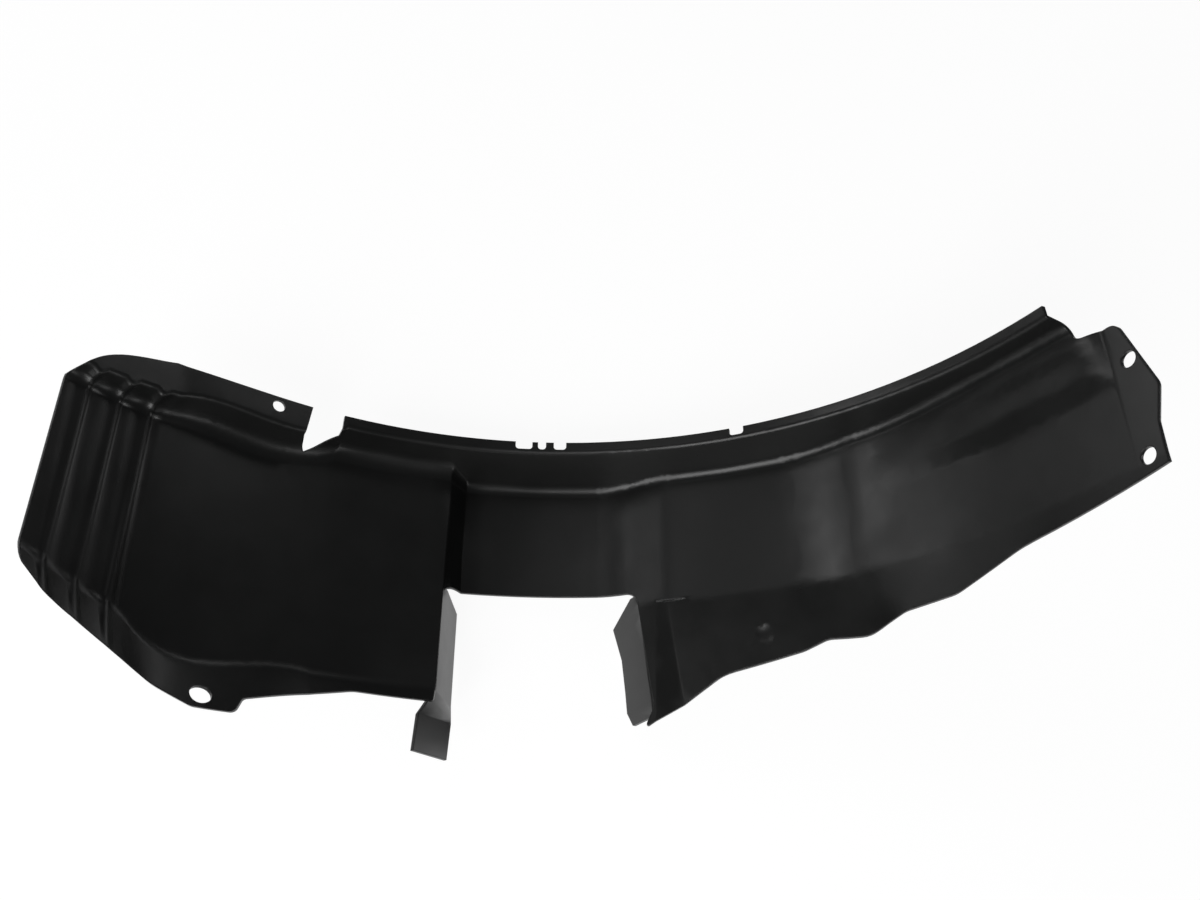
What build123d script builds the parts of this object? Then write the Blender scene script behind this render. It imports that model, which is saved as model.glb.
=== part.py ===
from build123d import *
from collections import namedtuple
from math import atan2, cos, radians, sin, tan
import os

# Driving sizes of the liner, in millimetres and degrees.
# Radii run from the wheel axis to the wheel side of the skin, and depths from the lip's radius to the roof.
# Angles run about the wheel axis from its lowest station, forwards negative and rearwards positive.
# Widths run inboard from the free edge of the lip.
wall = 2.5
lip_radius = 350.0
lip_width = 9.0
draft = 12.0
lip_bend = 3.5
fold_bend = 8.0
front_fold_bend = 15.0
edge_bend = 16.0
shoulder_bend = 40.0

# Stations, chained outwards from the strut recess.
recess_front = -13.6
step_sweep = 2.2
recess_sweep = 14.4
ramp_sweep = 9.0
panel_sweep = 12.0
bank_sweep = 9.0
rear_sweep = 33.5
notch_sweep = 15.4
tab_sweep = 8.0
nose_sweep = 19.3

# Roof depths below the lip.
front_depth = 26.0
recess_depth = 43.0
panel_depth = 32.0
crease_depth = 27.0
rear_depth = 24.0

# Front: a wide lip for the fender screw that sinks towards the nose, and an inboard flare that turns up.
screw_lip_width = 20.0
nose_lip_width = 27.0
nose_sink = 12.0
nose_width = 204.0
tab_width = 232.0
front_width = 214.0
nose_flare = 54.0
tab_flare = 42.0
front_flare = 30.0
nose_rise = 32.0
tab_rise = 20.0
front_rise = 16.0

# Rear panel: inboard of its shoulder the roof falls away, less so behind the crease.
shoulder_width = 118.0
panel_width = 215.0
panel_drop = 20.0
rear_drop = 8.0
crease_sweep = 5.0

# Rear terraces: two soft steps that split the wall towards the rear end.
terrace_rise = 2.5
ledge_rise = 5.5
terrace_width = 29.0
ledge_width = 55.0
terrace_drift = 18.0
terrace_soft = 13.0
ledge_soft = 20.0
terrace_sweep = 18.0
flat_sweep = 4.5
fade_sweep = 5.0
roof_steps = 14

# Ribs pleated across the nose.
rib_count = 3
rib_pitch = 3.35
rib_inset = 2.2
rib_height = 3.0
rib_foot = 0.75
rib_crest = 0.2

# Strut cut-out: its flanges lean in towards its middle, and a tongue twists out of the front one.
cutout_width = 106.5
cutout_bend = 8.0
front_lean = 10.0
rear_lean = 30.0
flange_depth = 37.5
tongue_lean = 38.0
tongue_width = 231.0

# Dimple in the fall of the rear panel.
dimple_angle = 21.0
dimple_width = 147.0
dimple_size = 14.0
dimple_depth = 1.2

# Lip notches and screw holes.
notch_half = 2.4
notch_bend = 2.5
notch_depth = 6.0
comb_angle = -3.2
comb_pitch = 2.2
clip_angle = 20.7
screw_hole = 9.0
tab_hole = 14.0
end_hole = 10.5

Section = namedtuple("Section", "lip sink depth width flare rise fold terrace")

notch_angle = recess_front - notch_sweep
tab_angle = notch_angle - tab_sweep
nose_angle = tab_angle - nose_sweep
recess_start = recess_front + step_sweep
ramp_start = recess_start + recess_sweep
panel_start = ramp_start + ramp_sweep
bank_start = panel_start + panel_sweep
crease_angle = bank_start + bank_sweep
rear_angle = crease_angle + rear_sweep
flat_angle = rear_angle - flat_sweep
fade_angle = flat_angle - fade_sweep
arch_axis = Axis((0, 0, 0), (0, -1, 0))


def ease(share):
    """Smooth rise from 0 to 1."""
    share = min(max(share, 0.0), 1.0)
    return share * share * (3 - 2 * share)


def blend(first, second, share):
    """Section part of the way from one section to another."""
    return Section(*(a + (b - a) * share for a, b in zip(first, second)))


def span(first, last, count):
    """Evenly spaced angles, both ends included."""
    return [first + (last - first) * step / (count - 1) for step in range(count)]


def station(angle):
    """Plane through the wheel axis: local x runs outboard, local y away from the axis."""
    return Plane(
        origin=(0, 0, 0),
        x_dir=(0, 1, 0),
        z_dir=(-cos(radians(angle)), 0, -sin(radians(angle))),
    )


def facing(angle):
    """Plane at the lip, square to the radius: local x runs rearwards, local y outboard."""
    out = station(angle).y_dir
    return Plane(origin=out * lip_radius, x_dir=(-out.Z, 0, out.X), z_dir=-out)


def plan(angle, width):
    """Point of the plan view at a station of the roof."""
    return Vector((lip_radius + front_depth) * sin(radians(angle)), -width)


nose = Section(
    nose_lip_width, nose_sink, front_depth, nose_width, nose_flare, nose_rise, front_fold_bend, 0
)
tab = Section(screw_lip_width, 0, front_depth, tab_width, tab_flare, tab_rise, front_fold_bend, 0)
front = Section(lip_width, 0, front_depth, front_width, front_flare, front_rise, front_fold_bend, 0)
screw = front._replace(lip=screw_lip_width)
recess = Section(
    lip_width, 0, recess_depth, panel_width, panel_width - shoulder_width, -panel_drop, fold_bend, 0
)
panel = recess._replace(depth=panel_depth)


def front_section(angle):
    """Section between the nose and the tab."""
    return blend(nose, tab, (angle - nose_angle) / nose_sweep)


def rib_section(angle):
    """Crest of a rib: the wall and the roof stand nearer the wheel, and the rib fades up the flare."""
    base = front_section(angle)
    return base._replace(
        lip=base.lip + rib_height,
        depth=base.depth - rib_height,
        rise=base.rise - rib_height,
    )


def ramp_section(angle):
    """Section of the ramp from the strut recess up to the rear panel."""
    return blend(recess, panel, ease((angle - ramp_start) / ramp_sweep))


def bank_section(angle):
    """Section of the bank that steepens from the rear panel up to the crease."""
    share = (angle - bank_start) / bank_sweep
    return panel._replace(depth=panel_depth + (crease_depth - panel_depth) * share**2)


def rear_section(angle):
    """Section behind the crease: flatter inboard, and terraced until it nears the end."""
    shallow = min((angle - crease_angle) / (fade_angle - crease_angle), 1)
    flat = ease((angle - crease_angle) / crease_sweep)
    terraced = ease((angle - crease_angle) / terrace_sweep)
    fade = ease((angle - fade_angle) / fade_sweep)
    return panel._replace(
        depth=crease_depth + (rear_depth - crease_depth) * shallow,
        rise=-panel_drop + (panel_drop - rear_drop) * flat,
        terrace=terraced * (1 - fade),
    )


def roof_curve(section, start, end, grow, soft):
    """Roof between the wall's fold and the inboard edge, with its terraces where it is soft."""
    if not soft:
        return Line(start, end, mode=Mode.PRIVATE)
    roof = lip_radius + section.depth + grow
    terrace_place = terrace_width + terrace_drift * (1 - section.terrace)
    points = []
    even = [step / roof_steps for step in range(roof_steps + 1)]
    for share in even:
        across = start.X + (end.X - start.X) * share
        height = terrace_rise * ease((across + terrace_place) / terrace_soft + 0.5)
        height += ledge_rise * ease((across + ledge_width) / ledge_soft + 0.5)
        points.append((across, roof - section.terrace * height))
    return Edge.make_spline(points, tangents=[(-1, 0), (-1, 0)], parameters=even)


def section_curves(section, grow, soft):
    """Curves of one section from the lip to the inboard edge, grown away from the wheel."""
    lip = lip_radius + section.sink
    roof = lip_radius + section.depth
    wall_foot = roof - section.terrace * (terrace_rise + ledge_rise)
    foot = -section.lip - (wall_foot - lip) * tan(radians(draft))
    shift = grow * tan(radians(45 - draft / 2))
    fold = FilletPolyline(
        (0, lip + grow),
        (shift - section.lip, lip + grow),
        (shift + foot, wall_foot + grow),
        (foot - section.fold, wall_foot + grow),
        radius=[0 if grow else lip_bend, min(section.fold, (wall_foot - lip) / 2) + grow],
        mode=Mode.PRIVATE,
    ).edges()[:-1]
    turn = section.flare - section.width
    slope = atan2(section.rise, section.flare)
    edge = FilletPolyline(
        (turn + shoulder_bend, roof + grow),
        (turn - grow * tan(slope / 2), roof + grow),
        (-section.width - grow * sin(slope), roof - section.rise + grow * cos(slope)),
        radius=edge_bend + grow if section.rise > 0 else shoulder_bend - grow,
        mode=Mode.PRIVATE,
    ).edges()[1:]
    return [*fold, roof_curve(section, fold[-1] @ 1, edge[0] @ 0, grow, soft), *edge]


def skin(angle, section, soft=False):
    """Thin section of the liner at one station."""
    with BuildSketch(station(angle)) as sketch:
        with BuildLine():
            near = section_curves(section, 0, soft)
            far = section_curves(section, wall, soft)
            for curve in near + far:
                add(curve)
            Line(near[0] @ 0, far[0] @ 0)
            Line(near[-1] @ 1, far[-1] @ 1)
        make_face()
    return sketch.sketch


def core(angle, section):
    """Section of the wheel's space at one station, reaching half-way into the skin."""
    top = lip_radius - 2 * front_depth
    with BuildSketch(station(angle)) as sketch:
        with BuildLine():
            curves = section_curves(section, wall / 2, False)
            for curve in curves:
                add(curve)
            Polyline(curves[0] @ 0, (0, top), (-section.width, top), curves[-1] @ 1)
        make_face()
    return sketch.sketch


def roof_point(angle, width):
    """Point on the roof between the strut recess and the rear panel."""
    flat = plan(angle, width)
    fall = panel_drop * max(width - shoulder_width, 0) / (panel_width - shoulder_width)
    radius = lip_radius + ramp_section(angle).depth + fall
    return Vector(flat.X, flat.Y, -((radius**2 - flat.X**2) ** 0.5))


def flange_cut(foot, lean, top, bottom, middle):
    """Cut across a flange that hangs from its foot, between two depths."""
    down = (sin(radians(lean)), 0, -cos(radians(lean)))
    with BuildSketch(Plane(origin=foot, x_dir=down, z_dir=(0, -1, 0))) as sketch:
        with Locations(((top + bottom) / 2, middle)):
            Rectangle(bottom - top, wall)
    return sketch.sketch


def pocket_cut(width, left, valley, right, depth):
    """Cut across the pocket: two banks that meet in a valley below the roof."""
    banks = [roof_point(left, width), roof_point(right, width)]
    low = roof_point(valley, width) - Vector(0, 0, depth)
    with BuildSketch(Plane(origin=low, x_dir=(1, 0, 0), z_dir=(0, -1, 0))) as sketch:
        with BuildLine():
            tops = [((bank.X - low.X) * 1.6, (bank.Z - low.Z) * 1.6) for bank in banks]
            Polyline(tops[0], (0, 0), tops[1], close=True)
        make_face()
    return sketch.sketch


# Stations of the skin's sectors: each rib has two plain stations at its foot and two at its crest.
nose_stations = [(nose_angle, nose)]
for rib in range(rib_count):
    middle = nose_angle + rib_inset + rib_pitch * rib
    nose_stations.append((middle - rib_foot, front_section(middle - rib_foot)))
    nose_stations.append((middle - rib_crest, rib_section(middle - rib_crest)))
    nose_stations.append((middle + rib_crest, rib_section(middle + rib_crest)))
    nose_stations.append((middle + rib_foot, front_section(middle + rib_foot)))
rib_end = nose_angle + rib_inset + rib_pitch * (rib_count - 0.5)
nose_stations.append((rib_end, front_section(rib_end)))
tab_stations = [
    (rib_end, front_section(rib_end)),
    (tab_angle, tab),
    (notch_angle - notch_half, screw),
    (notch_angle + notch_half, front),
]
ramp_stations = [(angle, ramp_section(angle)) for angle in span(ramp_start, panel_start, 6)]
bank_stations = [(angle, bank_section(angle)) for angle in span(bank_start, crease_angle, 4)]
rear_stations = [(angle, rear_section(angle)) for angle in span(crease_angle, flat_angle, 8)]

# The wheel's space behind the strut cut-out's front edge, for seating what is added to the skin there.
with BuildPart() as rear_space:
    revolve(core(recess_start, recess), axis=arch_axis, revolution_arc=recess_sweep)
    loft([core(angle, section) for angle, section in ramp_stations])
    revolve(core(panel_start, panel), axis=arch_axis, revolution_arc=panel_sweep)

# Pocket beside the rear flange: a groove that widens towards the inboard edge.
pocket_cuts = [
    pocket_cut(shoulder_width - 2, panel_start - 2.4, panel_start - 0.9, panel_start + 1.2, 2.5),
    pocket_cut(panel_width - 9, panel_start - 2.6, panel_start + 1.3, panel_start + 6.2, 11),
]
with BuildPart() as pocket:
    loft(pocket_cuts)
with BuildPart() as pocket_shell:
    loft([offset(cut, amount=wall, kind=Kind.INTERSECTION, mode=Mode.PRIVATE) for cut in pocket_cuts])
    add(rear_space.part, mode=Mode.SUBTRACT)

# Front flange of the strut cut-out, which starts within the skin, and its tongue.
front_foot = station(recess_front).y_dir * (lip_radius + front_depth)
front_cuts = [
    (cutout_width + 2, front_lean, wall / 2, 12),
    (cutout_width + 10, front_lean, wall / 2, flange_depth),
    (tongue_width - 45, front_lean, wall / 2, flange_depth),
    (tongue_width - 25, tongue_lean, -14, 17),
    (tongue_width, tongue_lean, -16, 15),
]
with BuildPart() as front_flange:
    loft(
        [
            flange_cut(front_foot - Vector(0, width, 0), lean, top, bottom, -wall / 2)
            for width, lean, top, bottom in front_cuts
        ],
        ruled=True,
    )

# Rear flange of the strut cut-out, along its slanted rear edge.
rear_corner = roof_point(ramp_start + 4.6, cutout_width)
rear_foot = roof_point(ramp_start + 6.5, 188)
rear_cuts = [(0.03, 8), (0.2, 37), (0.5, 32), (0.78, 34), (0.96, 36), (1.08, 31)]
with BuildPart() as rear_flange:
    loft(
        [
            flange_cut(rear_corner + (rear_foot - rear_corner) * share, -rear_lean, -6, depth, wall / 2)
            for share, depth in rear_cuts
        ],
        ruled=True,
    )
    add(rear_space.part, mode=Mode.SUBTRACT)

# Corners of the inboard outline, each with its station, width and rounding.
inboard_corners = [
    (nose_angle - 1, 100, 0),
    (nose_angle - 1, 152, 40),
    (nose_angle + 5.5, 181, 60),
    (tab_angle - 3.7, 214, 30),
    (tab_angle + 0.4, 223, 8),
    (tab_angle + 4.7, 223, 4),
    (tab_angle + 5.0, 212, 3),
    (notch_angle + 3.5, 200, 20),
    (notch_angle + 7.1, 194, 20),
    (recess_front, 196, 2),
    (recess_front, cutout_width, cutout_bend),
    (ramp_start + 4.6, cutout_width, cutout_bend),
    (ramp_start + 6.5, 188, 10),
    (ramp_start + 5.4, 203, 1.5),
    (panel_start + 5.3, 171, 40),
    (panel_start + 14.0, 162, 15),
    (panel_start + 16.6, 157, 12),
    (crease_angle, 161, 15),
    (crease_angle + 3.7, 152, 12),
    (crease_angle + 9.1, 150, 15),
    (crease_angle + 16.3, 134, 40),
    (rear_angle + 20, 117, 0),
]
lip_notches = [
    (comb_angle - comb_pitch, 12.5),
    (comb_angle, 6.0),
    (comb_angle + comb_pitch, 9.3),
    (clip_angle, 10.5),
]
lip_holes = [
    (notch_angle - 6.0, 7.0, screw_hole),
    (rear_angle - 2.7, 51.0, end_hole),
    (rear_angle - 3.3, 114.5, end_hole),
]

with BuildPart() as liner:
    # Skin, sector by sector from the nose to the rear end.
    loft([skin(angle, section) for angle, section in nose_stations], ruled=True)
    loft([skin(angle, section) for angle, section in tab_stations])
    revolve(skin(notch_angle + notch_half, front), axis=arch_axis, revolution_arc=notch_sweep - notch_half)
    loft([skin(recess_front, front), skin(recess_start, recess)], ruled=True)
    revolve(skin(recess_start, recess), axis=arch_axis, revolution_arc=recess_sweep)
    loft([skin(angle, section) for angle, section in ramp_stations])
    revolve(skin(panel_start, panel), axis=arch_axis, revolution_arc=panel_sweep)
    loft([skin(angle, section) for angle, section in bank_stations])
    loft([skin(angle, section, soft=True) for angle, section in rear_stations])
    revolve(
        skin(flat_angle, rear_section(flat_angle), soft=True),
        axis=arch_axis,
        revolution_arc=flat_sweep,
    )

    # Pocket beside the rear flange.
    add(pocket_shell.part)
    add(pocket.part, mode=Mode.SUBTRACT)

    # Dimple: a shallow cap of a ball that stands on the wheel side.
    fall = atan2(panel_drop, panel_width - shoulder_width)
    dimple_seat = station(dimple_angle)
    dimple_normal = -dimple_seat.y_dir * cos(fall) - dimple_seat.x_dir * sin(fall)
    dimple_drop = (dimple_width - shoulder_width) * tan(fall)
    dimple_foot = Vector(-dimple_width, lip_radius + panel_depth + dimple_drop)
    ball = ((dimple_size / 2) ** 2 + dimple_depth**2) / (2 * dimple_depth)
    with Locations(dimple_seat.from_local_coords(dimple_foot) + dimple_normal * (ball - dimple_depth)):
        Sphere(ball, mode=Mode.SUBTRACT)

    # Inboard outline with the strut cut-out.
    with BuildSketch():
        with BuildLine():
            inboard_edge = FilletPolyline(
                *[plan(angle, width) for angle, width, bend in inboard_corners],
                radius=[bend for angle, width, bend in inboard_corners[1:-1]],
            )
            Polyline(
                inboard_edge @ 1,
                plan(rear_angle + 20, 300),
                plan(nose_angle - 30, 300),
                inboard_edge @ 0,
            )
        make_face()
    extrude(amount=-500, mode=Mode.SUBTRACT)

    # Notches through the lip, and the rounded front corner.
    with BuildSketch(facing(notch_angle)):
        with BuildLine():
            Polyline((-12, 5), (-15, -21), (-10.5, -25), (10.5, -13), (11, 5), close=True)
        make_face()
    extrude(amount=2 * front_depth, both=True, mode=Mode.SUBTRACT)
    for angle, width in lip_notches:
        with BuildSketch(facing(angle)):
            RectangleRounded(width, 2 * notch_depth, notch_bend)
        extrude(amount=2 * wall, both=True, mode=Mode.SUBTRACT)
    with BuildSketch(facing(nose_angle)):
        with BuildLine():
            corner = Spline((-7, -70), (-3, -38), (17, -14), (52, -2), (110, 3), tangents=[(0, 1), (1, 0)])
            Polyline(corner @ 1, (110, 30), (-30, 30), (-30, -70), corner @ 0)
        make_face()
    extrude(amount=3 * front_depth, both=True, mode=Mode.SUBTRACT)

    # Rear end: the lip stops short of the tab that carries the rear screws.
    with BuildSketch(facing(rear_angle)):
        with BuildLine():
            rear_edge = FilletPolyline(
                (-47, 10),
                (-45, -23),
                (-20, -23),
                (-3, -76),
                (-10, -98),
                (-11, -140),
                radius=[6, 8, 10, 8],
            )
            Polyline(rear_edge @ 1, (30, -140), (30, 10), rear_edge @ 0)
        make_face()
    extrude(amount=3 * front_depth, both=True, mode=Mode.SUBTRACT)

    # Screw holes in the lip and the rear end, and the clip hole in the flare of the tab.
    for angle, width, diameter in lip_holes:
        with BuildSketch(facing(angle)):
            with Locations((0, -width)):
                Circle(diameter / 2)
        extrude(amount=3 * front_depth, both=True, mode=Mode.SUBTRACT)
    flare = Vector(-tab_flare, -tab_rise).normalized()
    flare_middle = Vector(tab_flare - tab_width, lip_radius + front_depth) + flare * tab_flare * 0.62
    seat = station(tab_angle - 0.3)
    seat_normal = seat.x_dir * flare.Y - seat.y_dir * flare.X
    with BuildSketch(Plane(origin=seat.from_local_coords(flare_middle), z_dir=seat_normal)):
        Circle(tab_hole / 2)
    extrude(amount=front_depth / 2, both=True, mode=Mode.SUBTRACT)

    add(front_flange.part)
    add(rear_flange.part)

# At rest the liner lies on the feet of its two flanges and on the fold of the strut recess.
front_feet = [vertex.center() for vertex in front_flange.vertices()]
rear_feet = [vertex.center() for vertex in rear_flange.vertices()]
fold_radius = lip_radius + recess_depth - fold_bend
fold_width = lip_width + recess_depth * tan(radians(draft)) + fold_bend * tan(radians(45 - draft / 2))
level = Vector(0, 0, 1)
for turn in range(10):
    front_rest = min(front_feet, key=level.dot)
    rear_rest = min(rear_feet, key=level.dot)
    under = Vector(-level.X, 0, -level.Z).normalized()
    fold_rest = under * fold_radius - Vector(0, fold_width, 0) - level * (fold_bend + wall)
    level = (rear_rest - front_rest).cross(fold_rest - front_rest).normalized()
rest = Plane(origin=fold_rest, x_dir=Vector(0, 1, 0).cross(level), z_dir=level)
laid = rest.to_local_coords(liner.part)
box = laid.bounding_box()
laid = Pos(-box.center().X, -box.center().Y, -box.min.Z) * laid

laid.label = "liner"
os.makedirs("parts", exist_ok=True)
export_step(laid, "parts/liner.step")
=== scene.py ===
"""A black plastic wheel arch liner lying wheel side up on a white studio floor."""
import math

import bpy
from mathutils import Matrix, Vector

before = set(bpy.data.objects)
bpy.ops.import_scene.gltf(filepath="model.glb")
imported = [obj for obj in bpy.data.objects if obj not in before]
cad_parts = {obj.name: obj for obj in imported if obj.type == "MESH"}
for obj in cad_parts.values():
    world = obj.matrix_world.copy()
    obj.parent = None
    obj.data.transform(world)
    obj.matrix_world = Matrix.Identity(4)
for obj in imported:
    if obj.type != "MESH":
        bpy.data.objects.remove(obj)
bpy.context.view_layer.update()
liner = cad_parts["liner"]

# Camera: metres and degrees, in the part's own frame.
CAMERA_PLACE = (-0.0643, -0.2134, 0.8462)
CAMERA_TURN = (20.86, -7.24, 1.16)
CAMERA_LENS = 34.5
SENSOR_WIDTH = 36.0

# Moulded black plastic: colours, range of roughness, and the sizes of its patterns in metres.
PLASTIC_DARK = (0.0075, 0.0077, 0.0075, 1)
PLASTIC_LIGHT = (0.0130, 0.0132, 0.0128, 1)
PLASTIC_ROUGHNESS = (0.27, 0.40)
PLASTIC_IOR = 1.49
CLOUD_SIZE = 0.07
CLOUD_RANGE = (0.3, 0.7)
WARP_SIZE = 0.05
WARP_DEPTH = 0.0006
GRAIN_SIZE = 0.0009
GRAIN_DEPTH = 0.00003
EDGE_ROUNDING = 0.0014

# Places of the colour sockets on a Mix node.
MIX_FIRST = 6
MIX_SECOND = 7
MIX_RESULT = 2

# Shading: corners over this angle stay sharp, wide faces look flatter, and points this close are one.
SHARP_ANGLE = 58.0
FLAT_WEIGHT = 50
WELD_DISTANCE = 0.00001

# Floor: a white sheet. Its share of glow is what the camera and reflections see, at this strength.
FLOOR_SIZE = 1.5
FLOOR_GREY = 0.8
FLOOR_ROUGHNESS = 0.9
FLOOR_GLOW = 0.8
FLOOR_WHITE = 1.15

# Soft lamps on a sphere about the part: azimuth, elevation, width, height and watts.
LAMP_MIDDLE = Vector((0, 0, 0.1))
LAMP_DISTANCE = 2.0
LAMPS = {
    "key": (236, 37, 0.9, 1.6, 25),
    "nose_side": (148, 22, 0.8, 0.4, 3.2),
    "rear_side": (8, 5, 0.6, 0.5, 7),
    "outer_side": (120, 50, 0.9, 0.9, 1.6),
    "inner_side": (302, 14, 0.9, 0.5, 3.2),
    "nose_top": (56, 23, 0.4, 0.3, 1.3),
}
SURROUND = (0.95, 0.97, 1.0, 1)
SURROUND_STRENGTH = 0.06
BACKDROP = (1, 1, 1, 1)
BACKDROP_STRENGTH = 1.0


def node(tree, kind, **values):
    """A shader node with the given input values."""
    made = tree.nodes.new(kind)
    for name, value in values.items():
        made.inputs[name.replace("_", " ")].default_value = value
    return made


def noise(tree, coords, size, detail, roughness):
    """Noise of one pattern size over the part."""
    made = node(tree, "ShaderNodeTexNoise", Scale=1 / size, Detail=detail, Roughness=roughness)
    tree.links.new(coords.outputs["Object"], made.inputs["Vector"])
    return made.outputs["Fac"]


def moulded_plastic():
    """Black plastic with uneven gloss, a slightly warped skin and a fine moulded grain."""
    material = bpy.data.materials.new("moulded_plastic")
    material.use_nodes = True
    tree = material.node_tree
    links = tree.links
    shader = tree.nodes["Principled BSDF"]
    shader.inputs["IOR"].default_value = PLASTIC_IOR
    coords = tree.nodes.new("ShaderNodeTexCoord")
    clouds = noise(tree, coords, CLOUD_SIZE, detail=4.0, roughness=0.6)

    colour = tree.nodes.new("ShaderNodeMix")
    colour.data_type = "RGBA"
    colour.inputs[MIX_FIRST].default_value = PLASTIC_DARK
    colour.inputs[MIX_SECOND].default_value = PLASTIC_LIGHT
    links.new(clouds, colour.inputs[0])
    links.new(colour.outputs[MIX_RESULT], shader.inputs["Base Color"])

    gloss = tree.nodes.new("ShaderNodeMapRange")
    gloss.inputs["From Min"].default_value = CLOUD_RANGE[0]
    gloss.inputs["From Max"].default_value = CLOUD_RANGE[1]
    gloss.inputs["To Min"].default_value = PLASTIC_ROUGHNESS[0]
    gloss.inputs["To Max"].default_value = PLASTIC_ROUGHNESS[1]
    links.new(clouds, gloss.inputs["Value"])
    links.new(gloss.outputs["Result"], shader.inputs["Roughness"])

    edges = node(tree, "ShaderNodeBevel", Radius=EDGE_ROUNDING)
    warp = node(tree, "ShaderNodeBump", Distance=WARP_DEPTH)
    grain = node(tree, "ShaderNodeBump", Distance=GRAIN_DEPTH)
    waves = noise(tree, coords, WARP_SIZE, detail=1.0, roughness=0.5)
    specks = noise(tree, coords, GRAIN_SIZE, detail=2.0, roughness=0.5)
    links.new(waves, warp.inputs["Height"])
    links.new(specks, grain.inputs["Height"])
    links.new(edges.outputs["Normal"], warp.inputs["Normal"])
    links.new(warp.outputs["Normal"], grain.inputs["Normal"])
    links.new(grain.outputs["Normal"], shader.inputs["Normal"])
    return material


def seen_by(tree, *rays):
    """1 for the given kinds of ray and 0 for the others."""
    path = tree.nodes.new("ShaderNodeLightPath")
    seen = path.outputs[rays[0]]
    for ray in rays[1:]:
        either = tree.nodes.new("ShaderNodeMath")
        either.operation = "MAXIMUM"
        tree.links.new(seen, either.inputs[0])
        tree.links.new(path.outputs[ray], either.inputs[1])
        seen = either.outputs[0]
    return seen


def white_floor():
    """Pale matt floor that looks white to the camera and in reflections, and keeps a soft shadow."""
    bpy.ops.mesh.primitive_plane_add(size=FLOOR_SIZE)
    floor = bpy.context.object
    floor.name = "floor"
    material = bpy.data.materials.new("floor_white")
    material.use_nodes = True
    tree = material.node_tree
    links = tree.links
    shader = tree.nodes["Principled BSDF"]
    shader.inputs["Base Color"].default_value = (FLOOR_GREY, FLOOR_GREY, FLOOR_GREY, 1)
    shader.inputs["Roughness"].default_value = FLOOR_ROUGHNESS
    glow = node(tree, "ShaderNodeEmission", Color=(1, 1, 1, 1), Strength=FLOOR_WHITE)
    share = tree.nodes.new("ShaderNodeMath")
    share.operation = "MULTIPLY"
    share.inputs[1].default_value = FLOOR_GLOW
    mix = tree.nodes.new("ShaderNodeMixShader")
    seen = seen_by(tree, "Is Camera Ray", "Is Glossy Ray", "Is Transmission Ray")
    links.new(seen, share.inputs[0])
    links.new(share.outputs[0], mix.inputs[0])
    links.new(shader.outputs[0], mix.inputs[1])
    links.new(glow.outputs[0], mix.inputs[2])
    links.new(mix.outputs[0], tree.nodes["Material Output"].inputs["Surface"])
    floor.data.materials.append(material)


def studio():
    """Dim even surround, which the camera sees as white and the black plastic as dim."""
    world = bpy.data.worlds.new("studio")
    world.use_nodes = True
    tree = world.node_tree
    surround = tree.nodes["Background"]
    surround.inputs["Color"].default_value = SURROUND
    surround.inputs["Strength"].default_value = SURROUND_STRENGTH
    backdrop = node(tree, "ShaderNodeBackground", Color=BACKDROP, Strength=BACKDROP_STRENGTH)
    mix = tree.nodes.new("ShaderNodeMixShader")
    tree.links.new(seen_by(tree, "Is Camera Ray", "Is Transmission Ray"), mix.inputs[0])
    tree.links.new(surround.outputs[0], mix.inputs[1])
    tree.links.new(backdrop.outputs[0], mix.inputs[2])
    tree.links.new(mix.outputs[0], tree.nodes["World Output"].inputs["Surface"])
    bpy.context.scene.world = world


def soft_lamp(name, azimuth, elevation, width, height, watts):
    """A soft lamp on the sphere about the part, turned towards its middle."""
    lamp = bpy.data.lights.new(name, "AREA")
    lamp.shape = "RECTANGLE"
    lamp.size = width
    lamp.size_y = height
    lamp.energy = watts
    obj = bpy.data.objects.new(name, lamp)
    bpy.context.collection.objects.link(obj)
    around = math.radians(azimuth)
    up = math.radians(elevation)
    out = Vector((math.cos(up) * math.cos(around), math.cos(up) * math.sin(around), math.sin(up)))
    obj.location = LAMP_MIDDLE + out * LAMP_DISTANCE
    obj.rotation_euler = out.to_track_quat("Z", "Y").to_euler()


def photo_camera():
    """Camera at the photo's angle."""
    data = bpy.data.cameras.new("camera")
    data.sensor_width = SENSOR_WIDTH
    data.lens = CAMERA_LENS
    obj = bpy.data.objects.new("camera", data)
    bpy.context.collection.objects.link(obj)
    obj.location = CAMERA_PLACE
    obj.rotation_euler = [math.radians(turn) for turn in CAMERA_TURN]
    bpy.context.scene.camera = obj


def soft_corners(obj):
    """Smooth shading over the shallow bends, with the real corners kept sharp."""
    weld = obj.modifiers.new("weld", "WELD")
    weld.merge_threshold = WELD_DISTANCE
    corners = obj.modifiers.new("corners", "EDGE_SPLIT")
    corners.use_edge_sharp = False
    corners.split_angle = math.radians(SHARP_ANGLE)
    flats = obj.modifiers.new("flats", "WEIGHTED_NORMAL")
    flats.mode = "FACE_AREA"
    flats.weight = FLAT_WEIGHT


liner.data.materials.clear()
liner.data.materials.append(moulded_plastic())
soft_corners(liner)
white_floor()
photo_camera()
for lamp_name, lamp_values in LAMPS.items():
    soft_lamp(lamp_name, *lamp_values)

studio()
bpy.context.scene.view_settings.view_transform = "Standard"
